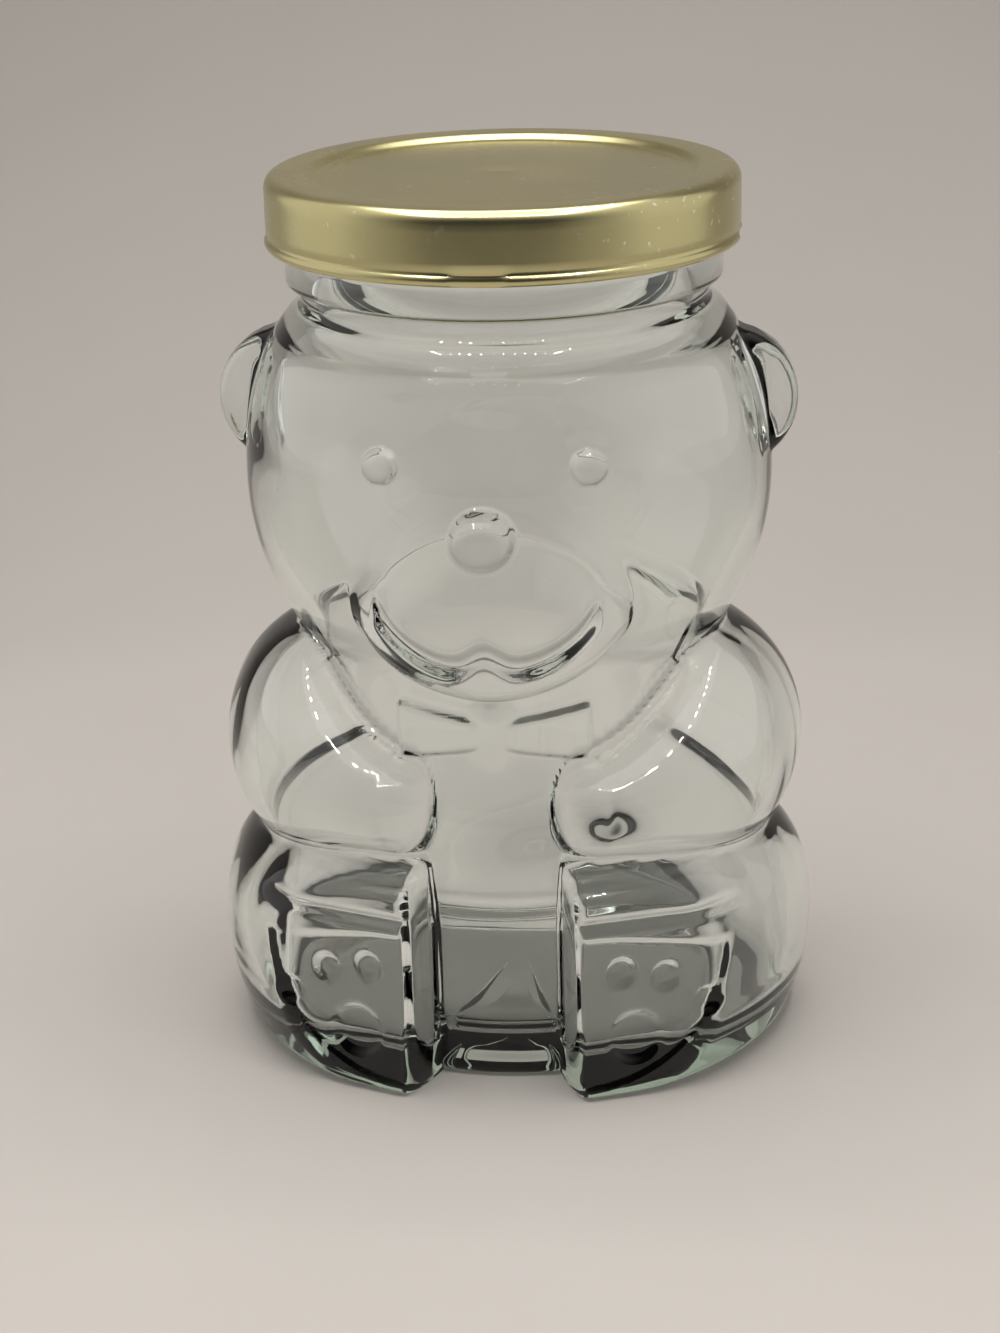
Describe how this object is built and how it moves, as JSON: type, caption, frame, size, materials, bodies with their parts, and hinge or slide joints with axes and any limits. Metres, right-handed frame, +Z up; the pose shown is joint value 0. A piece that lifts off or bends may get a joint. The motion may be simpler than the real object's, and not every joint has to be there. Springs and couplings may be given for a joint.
{
  "type": "bear-shaped jar",
  "caption": "Clear moulded glass honey jar shaped as a seated bear with a bow tie, closed by a gold twist-off metal cap with a sealing gasket.",
  "frame": {"origin": "on the table plane, on the axis of the neck and cap", "axes": "+Z up along the neck's axis, out of the mouth; -Y the way the bear faces; +X towards the bear's left side"},
  "size_m": [0.0872, 0.076, 0.125],
  "materials": {
    "clear_glass": "clear, gloss",
    "gold_lacquer": "gold lacquered tinplate, satin gloss",
    "gasket_compound": "matte"
  },
  "bodies": {
    "jar": {"glass_jar": "clear_glass"},
    "seal": {"lid_gasket": "gasket_compound"},
    "lid": {"lid_shell": "gold_lacquer"}
  },
  "joints": [
    {"name": "lid_lift", "type": "slide", "parent": "jar", "child": "seal", "axis": [0, 0, 1], "range_m": [0, 0.06]},
    {"name": "lid_twist", "type": "hinge", "parent": "seal", "child": "lid", "pos_m": [0, 0, 0.115], "axis": [0, 0, 1], "range_deg": [-62, 0]}
  ]
}
